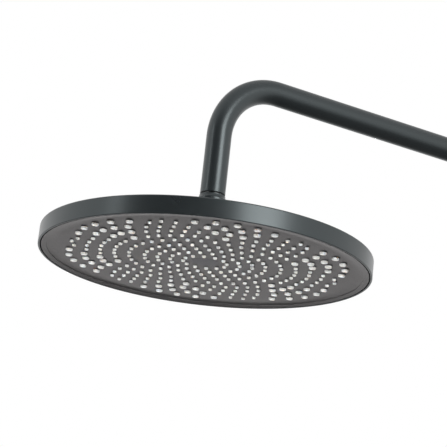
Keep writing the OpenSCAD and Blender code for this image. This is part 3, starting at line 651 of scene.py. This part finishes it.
# %% Centre disc
CAP_R, CAP_FRONT, CAP_BACK, CAP_FLAT_R = 10.2, 2.35, 3.75, 9.0
CAP_SEGMENTS = 96
cap_profile = rounded([(0, CAP_FRONT, 0), (CAP_FLAT_R, CAP_FRONT, 0), (CAP_R, CAP_FRONT, SOFT),
                       (CAP_R, CAP_BACK, CRISP), (0, CAP_BACK, 0)])
cap = turned_piece("centre_cap", cap_profile, "head", CAP_SEGMENTS, closed=False)

# %% [markdown]
# # Finishes
# Every finish is a Principled shader with three kinds of small variation, each read from the piece's own
# coordinates so that it stays on the surface: a mottle that shifts the colour, a cloud that shifts the
# roughness, and a grain that tilts the surface. An image could carry them, but noise needs no unwrapping and
# has no edge. What is the same all over is typed straight into the shader.

# %% Finish helpers
NOISE_LOW, NOISE_HIGH = 0.3, 0.7         # nearly all values of a noise lie between these
MAP_RANGE = ("From Min", "From Max", "To Min", "To Max")


def noise(tree, scale, detail=3.0, stretch=(1, 1, 1)):
    """Noise in object coordinates. scale is in waves per metre, and stretch changes it along X, Y and Z."""
    coordinates = tree.nodes.new("ShaderNodeTexCoord")
    mapping = tree.nodes.new("ShaderNodeMapping")
    mapping.inputs["Scale"].default_value = stretch
    made = tree.nodes.new("ShaderNodeTexNoise")
    made.inputs["Scale"].default_value = scale
    made.inputs["Detail"].default_value = detail
    tree.links.new(coordinates.outputs["Object"], mapping.inputs["Vector"])
    tree.links.new(mapping.outputs["Vector"], made.inputs["Vector"])
    return made.outputs["Fac"]


def between(tree, value, start, end, low, high, blend="LINEAR"):
    """A number that runs from low to high as the value runs from start to end."""
    node = tree.nodes.new("ShaderNodeMapRange")
    node.interpolation_type = blend
    for socket, number in zip(MAP_RANGE, (start, end, low, high)):
        node.inputs[socket].default_value = number
    tree.links.new(value, node.inputs["Value"])
    return node.outputs["Result"]


def tinted(tree, factor, colour, amount):
    """The colour, darker by amount where the factor is low and lighter by amount where it is high."""
    ramp = tree.nodes.new("ShaderNodeValToRGB")
    stops = ((NOISE_LOW, 1 - amount), (NOISE_HIGH, 1 + amount))
    for element, (position, share) in zip(ramp.color_ramp.elements, stops):
        element.position = position
        element.color = (*[min(1, c * share) for c in colour], 1)
    tree.links.new(factor, ramp.inputs["Fac"])
    return ramp.outputs["Color"]


def finish(name, colour, roughness, mottle, cloud, grain, stretch=(1, 1, 1), **uniform):
    """A material. mottle and cloud are (waves per metre, amount); grain is (waves per metre, height in mm).
    Every other name is one of the shader's sockets, with _ for a space, and the value to type into it."""
    material = bpy.data.materials.new(name)
    material.use_nodes = True
    tree = material.node_tree
    shader = tree.nodes["Principled BSDF"]
    for socket, value in uniform.items():
        shader.inputs[socket.replace("_", " ")].default_value = value
    mottled = noise(tree, mottle[0], stretch=stretch)
    tree.links.new(tinted(tree, mottled, colour, mottle[1]), shader.inputs["Base Color"])
    clouded = noise(tree, cloud[0], stretch=stretch)
    low, high = roughness - cloud[1], roughness + cloud[1]
    tree.links.new(between(tree, clouded, NOISE_LOW, NOISE_HIGH, low, high), shader.inputs["Roughness"])
    bump = tree.nodes.new("ShaderNodeBump")
    bump.inputs["Distance"].default_value = grain[1] * MM
    tree.links.new(noise(tree, grain[0], 2.0, stretch), bump.inputs["Height"])
    tree.links.new(bump.outputs["Normal"], shader.inputs["Normal"])
    material.diffuse_color = (*colour, 1)
    print("finish", name, "roughness", round(low, 2), "to", round(high, 2))
    return material


def paint(material, *objects):
    """Gives objects this one material."""
    for painted in objects:
        painted.data.materials.clear()
        painted.data.materials.append(material)


# %% [markdown]
# ## Satin anthracite coat
# Arm, collar, flange and shell have a satin coat over metal. It is nearly black, a little green-blue, and its
# gloss is broad: at that roughness a lamp becomes a soft streak along a tube. So dark a coat is seen mostly
# by what it mirrors, so its reflection is a little stronger than usual and takes the faint green-blue as
# well. A clear coat over a base layer would be nearer to the real build-up, but it adds a second, sharper
# gloss that a satin coat doesn't show. The grain is the faint ripple of a sprayed surface.

# %% Anthracite coat
COAT = (0.010, 0.012, 0.013)
coat = finish("satin_anthracite", COAT, 0.30, mottle=(45, 0.06), cloud=(18, 0.03), grain=(1100, 0.012),
              Specular_IOR_Level=0.8, Specular_Tint=(0.87, 0.98, 1.0, 1))
paint(coat, arm, shell, collar, flange)

# %% [markdown]
# ## Face plate, disc and silicone
# The plate is a warm grey moulding with a fine spark-eroded texture, so it is matt: a higher roughness, a
# coarser grain and hardly any gloss. The disc in its middle is darker and a little smoother. The nozzles are
# off-white silicone, which lets a little light in. A plain pale colour would look like chalk, so subsurface
# scattering over about a millimetre softens the dark side of each one.

# %% Face plate, disc and silicone
FACE_GREY, DISC_GREY = (0.120, 0.1165, 0.1165), (0.0735, 0.0725, 0.077)
OFF_WHITE = (0.88, 0.875, 0.855)
plate_finish = finish("matt_grey_moulding", FACE_GREY, 0.6, mottle=(900, 0.10), cloud=(40, 0.03),
                      grain=(2600, 0.03), Specular_IOR_Level=0.05)
cap_finish = finish("matt_grey_disc", DISC_GREY, 0.5, mottle=(900, 0.08), cloud=(60, 0.03),
                    grain=(2600, 0.02), Specular_IOR_Level=0.2)
silicone = finish("off_white_silicone", OFF_WHITE, 0.45, mottle=(120, 0.02), cloud=(90, 0.04),
                  grain=(1800, 0.01), Subsurface_Weight=0.6, Subsurface_Scale=MM,
                  Subsurface_Radius=(1.0, 0.95, 0.9))
paint(plate_finish, face_plate)
paint(cap_finish, cap)
paint(silicone, nozzle_mat)

# %% [markdown]
# ## What lies inside and at the wall
# Brass, stainless steel, resin and rubber show at the ball joint, at the wall end and when the part is
# taken apart. Metals get their colour through Metallic. Turned metal has fine lines round its axis: they
# could be cut as grooves, but they are finer than any mesh, so the grain is stretched round the axis
# instead. Rubber and resin are matt and slightly uneven. The CAD pieces that the finished surfaces stand for
# get the same materials, so that nothing is left bare if they are shown.

# %% Inner materials
TURNED_ABOUT_Z, TURNED_ABOUT_Y = (0.08, 0.08, 1), (0.08, 1, 0.08)
BRASS, STEEL = (0.60, 0.43, 0.19), (0.56, 0.565, 0.57)
RUBBER, RESIN = (0.018, 0.018, 0.018), (0.24, 0.25, 0.27)
brass = finish("turned_brass", BRASS, 0.30, mottle=(90, 0.08), cloud=(60, 0.06), grain=(2500, 0.02),
               stretch=TURNED_ABOUT_Z, Metallic=1.0)
thread_brass = finish("cut_brass", BRASS, 0.33, mottle=(90, 0.08), cloud=(60, 0.06), grain=(2500, 0.015),
                      stretch=TURNED_ABOUT_Y, Metallic=1.0)
steel = finish("turned_steel", STEEL, 0.27, mottle=(90, 0.05), cloud=(60, 0.05), grain=(2500, 0.015),
               stretch=TURNED_ABOUT_Z, Metallic=1.0)
rubber = finish("black_rubber", RUBBER, 0.62, mottle=(300, 0.15), cloud=(150, 0.05), grain=(1500, 0.03))
resin = finish("grey_resin", RESIN, 0.48, mottle=(60, 0.04), cloud=(40, 0.04), grain=(1400, 0.03))
paint(thread_brass, nipple)
finish_of_nodes = [
    (brass, ["arm_end_bush", "ball_socket"]),
    (steel, ["ball_stem", "filter_screen", "face_screws", "centre_screw"]),
    (rubber, ["flange_oring", "stem_oring", "ball_seal", "socket_gasket", "inlet_oring", "chamber_oring",
              "screw_washer"]),
    (resin, ["ball_liner", "flow_regulator", "chamber_plate"]),
    (coat, ["arm_tube", "neck_collar", "wall_flange", "head_shell"]),
    (plate_finish, ["face_plate"]),
    (cap_finish, ["centre_cap"]),
    (silicone, ["nozzle_mat"]),
    (thread_brass, ["wall_nipple"])]
for material, names in finish_of_nodes:
    paint(material, *[frame["nodes"][name] for name in names])
print(sum(len(names) for _, names in finish_of_nodes), "CAD pieces have a finish")

# %% [markdown]
# # Camera and light
# The camera stands below the head and to one side of the arm, and looks up at the face. It could be placed by
# its coordinates, but they say little to a reader. So it is built from what someone behind it would say: the
# direction it stands in, its distance, the point it aims at, and its roll, because it is held a little askew.

# %% Camera
CAMERA_AZIMUTH, CAMERA_ELEVATION, CAMERA_ROLL = 60.68, -15.26, 6.24          # degrees
CAMERA_DISTANCE, CAMERA_LENS = 1.407, 146.2                                  # metres, and mm
AIM_RIGHT, AIM_UP = 0.0110, 0.0350       # the point it aims at, in metres from the middle of the face
face_centre = Vector((AXIS_X, AXIS_Y, LIP_Z))


def direction(azimuth, elevation):
    """Unit vector from the head to a place at that azimuth, 0 towards -Y and 90 towards +X, and elevation."""
    a, e = math.radians(azimuth), math.radians(elevation)
    return Vector((math.sin(a) * math.cos(e), -math.cos(a) * math.cos(e), math.sin(e)))


camera = bpy.data.objects.new("camera", bpy.data.cameras.new("camera"))
bpy.context.scene.collection.objects.link(camera)
bpy.context.scene.camera = camera
camera.data.lens = CAMERA_LENS
camera.location = face_centre + CAMERA_DISTANCE * direction(CAMERA_AZIMUTH, CAMERA_ELEVATION)
camera_right = direction(CAMERA_AZIMUTH + 90, 0)
aim = face_centre + AIM_RIGHT * camera_right + Vector((0, 0, AIM_UP))
look = (aim - camera.location).normalized()
camera.rotation_mode = "QUATERNION"
camera.rotation_quaternion = look.to_track_quat("-Z", "Y") @ Quaternion((0, 0, 1), math.radians(CAMERA_ROLL))
print("camera at", [round(c, 3) for c in camera.location])

# %% [markdown]
# ## Lamps
# All lamps are large rectangles. Angles are counted from the camera, to its right, because the streaks on the
# coat depend on where a lamp stands between the viewer and the piece. The key stands low behind the head and
# rakes across the face: it leaves the far side of the dish dark and gives every nozzle its short shadow. A
# low, wide fill by the camera opens those shadows a little. Both have a grid on their front, so that they
# light the face and not the floor. A lamp overhead lights the back of the shell and the arm. A studio would
# put a polariser on these three, so that they light surfaces without a shine of their own; here their glossy
# visibility is off. The other two have no grid, and they draw the streaks.

# %% Lamps
def softbox(name, azimuth, elevation, distance, width, height, radiance, shine=True, spread=180):
    """A rectangular lamp that faces the head. Its power is its radiance times pi times its area. A grid on
    its front narrows the beam to the spread in degrees, and with half of it in radians as h, the power that
    keeps the beam's middle as bright is smaller by 1 - h / tan h."""
    light = bpy.data.lights.new(name, "AREA")
    light.shape = "RECTANGLE"
    light.size, light.size_y = width, height
    light.spread = math.radians(spread)
    half = light.spread / 2
    light.energy = radiance * math.pi * width * height * (1 - half / math.tan(half))
    lamp = bpy.data.objects.new(name, light)
    bpy.context.scene.collection.objects.link(lamp)
    toward = direction(CAMERA_AZIMUTH + azimuth, elevation)
    lamp.location = face_centre + distance * toward
    lamp.rotation_mode = "QUATERNION"
    lamp.rotation_quaternion = (-toward).to_track_quat("-Z", "Y")
    lamp.visible_camera = False
    lamp.visible_glossy = shine
    print(name, round(light.energy, 1), "W")


# name, degrees to the camera's right, degrees up, metres away, width, height, radiance
softbox("face_key", -176, -13, 3.0, 0.9, 0.4, 376, shine=False, spread=60)
softbox("front_fill", -5, -4.5, 2.0, 1.6, 0.3, 44, shine=False, spread=60)
softbox("right_softbox", 34, 17, 1.8, 0.85, 0.9, 5.0)
softbox("left_strip", -64, 16, 1.8, 0.22, 0.9, 2.6)
softbox("top_light", 30, 78, 2.5, 2.0, 2.0, 4.0, shine=False)

# %% [markdown]
# ## Floor
# The floor is pale and plain, and so far below the shower that a camera can look up at the face from above
# it. A plain white floor would look the same, but it would throw light up at the face and wash out the
# nozzles' shadows. So only the camera sees it pale, a little aglow, and fading to white far out, as a
# studio's paper sweep does, so that no edge shows. Light meets a dark grey instead, as of a floor in shade.

# %% Floor
FLOOR_DROP, FLOOR_HALF = 2.7, 12.0       # metres below the head's lowest face, and half its width
FLOOR_PALE, FLOOR_GLOW, FLOOR_SHADE = (0.80, 0.80, 0.79), 0.5, (0.20, 0.20, 0.20, 1)
FADE_START, FADE_END = 0.3, 0.95         # shares of half the floor's width
floor_mesh = bpy.data.meshes.new("floor")
signs = ((-1, -1), (1, -1), (1, 1), (-1, 1))
corners = [(x * FLOOR_HALF, y * FLOOR_HALF, LIP_Z - FLOOR_DROP) for x, y in signs]
floor_mesh.from_pydata(corners, [], [(0, 1, 2, 3)])
floor = bpy.data.objects.new("floor", floor_mesh)
bpy.context.scene.collection.objects.link(floor)
floor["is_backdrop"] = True
floor.visible_glossy = False


def mixed(tree, factor, first, second):
    """The first shader where the factor is 0 and the second where it is 1."""
    node = tree.nodes.new("ShaderNodeMixShader")
    for socket, output in zip(node.inputs, (factor, first, second)):
        tree.links.new(output, socket)
    return node.outputs[0]


def floor_finish():
    """Matt paint that only camera rays see pale. All other rays meet a dark grey."""
    material = finish("pale_floor", FLOOR_PALE, 0.8, mottle=(3, 0.01), cloud=(3, 0.03), grain=(300, 0.02),
                      Emission_Color=(1, 1, 1, 1), Emission_Strength=FLOOR_GLOW)
    tree = material.node_tree
    ray = tree.nodes.new("ShaderNodeLightPath")
    coordinates = tree.nodes.new("ShaderNodeTexCoord")
    shade = tree.nodes.new("ShaderNodeBsdfDiffuse")
    shade.inputs["Color"].default_value = FLOOR_SHADE
    far_out = tree.nodes.new("ShaderNodeVectorMath")
    far_out.operation = "LENGTH"
    tree.links.new(coordinates.outputs["Object"], far_out.inputs[0])
    fade = between(tree, far_out.outputs["Value"], FADE_START * FLOOR_HALF, FADE_END * FLOOR_HALF, 0, 1)
    pale = tree.nodes["Principled BSDF"].outputs[0]
    sweep = mixed(tree, fade, pale, tree.nodes.new("ShaderNodeEmission").outputs[0])
    seen = mixed(tree, ray.outputs["Is Camera Ray"], shade.outputs[0], sweep)
    tree.links.new(seen, tree.nodes["Material Output"].inputs["Surface"])
    return material


paint(floor_finish(), floor)

# %% [markdown]
# ## Surroundings
# To the camera the surround is plain white, and it lights the shower only faintly. What the coat mirrors is
# the same white at the back and sides, with a dark patch where the viewer stands, a floor in shade and a
# dimmer ceiling. Black and white cards round the piece would do the same, with hard edges. Here they are
# smooth blends over the direction of the ray, so the coat keeps its dark middle and its light edges.

# %% Surroundings
BACKDROP, AMBIENT = 1.0, 0.14            # the white that the camera sees, and the light that it gives
PATCH_AZIMUTH, PATCH_LEVEL, PATCH_BLEND = -24, 0.05, (0.5, 0.95)     # the dark place by the viewer
SHADE_LEVEL, SHADE_BLEND = 0.17, (-0.65, -0.05)                      # the floor in shade, straight below
TOP_LEVEL, TOP_BLEND = 0.62, (0.2, 0.95)                             # the ceiling, straight above
world = bpy.data.worlds.new("surroundings")
bpy.context.scene.world = world
world.use_nodes = True
sky = world.node_tree
sky.nodes.clear()


def along(axis, blend, low, high):
    """A number that runs smoothly from low to high as the ray's share along the axis runs over the blend."""
    ray_way = sky.nodes.new("ShaderNodeTexCoord")
    share = sky.nodes.new("ShaderNodeVectorMath")
    share.operation = "DOT_PRODUCT"
    share.inputs[1].default_value = axis
    sky.links.new(ray_way.outputs["Generated"], share.inputs[0])
    return between(sky, share.outputs["Value"], *blend, low, high, "SMOOTHSTEP")


def combined(operation, first, second):
    """A math node on two outputs."""
    node = sky.nodes.new("ShaderNodeMath")
    node.operation = operation
    sky.links.new(first, node.inputs[0])
    sky.links.new(second, node.inputs[1])
    return node.outputs["Value"]


def white(strength):
    """A white background shader of that strength."""
    node = sky.nodes.new("ShaderNodeBackground")
    node.inputs["Color"].default_value = (1, 1, 1, 1)
    node.inputs["Strength"].default_value = strength
    return node


patch = along(direction(CAMERA_AZIMUTH + PATCH_AZIMUTH, 0), PATCH_BLEND, BACKDROP, PATCH_LEVEL)
below = along((0, 0, 1), SHADE_BLEND, SHADE_LEVEL, BACKDROP)
above = along((0, 0, 1), TOP_BLEND, BACKDROP, TOP_LEVEL)
mirrored = white(BACKDROP)
sky.links.new(combined("MULTIPLY", combined("MULTIPLY", patch, below), above), mirrored.inputs["Strength"])
ray = sky.nodes.new("ShaderNodeLightPath")
shiny = combined("MAXIMUM", ray.outputs["Is Glossy Ray"], ray.outputs["Is Transmission Ray"])
unseen = mixed(sky, shiny, white(AMBIENT).outputs[0], mirrored.outputs[0])
surround = mixed(sky, ray.outputs["Is Camera Ray"], unseen, white(BACKDROP).outputs[0])
sky.links.new(surround, sky.nodes.new("ShaderNodeOutputWorld").inputs["Surface"])
bpy.context.scene.view_settings.view_transform = "Standard"
print("the surround is", BACKDROP, "to the camera and", AMBIENT, "as light")

# %% [markdown]
# ## Sizes and the last line
# The finished surfaces have to fill the same box as the imported model.

# %% Print how far the box differs
low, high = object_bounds()
apart = [round((a - b) / MM, 3) for a, b in zip((*low, *high), (*cad_low, *cad_high))]
print("box differs by", apart, "mm")
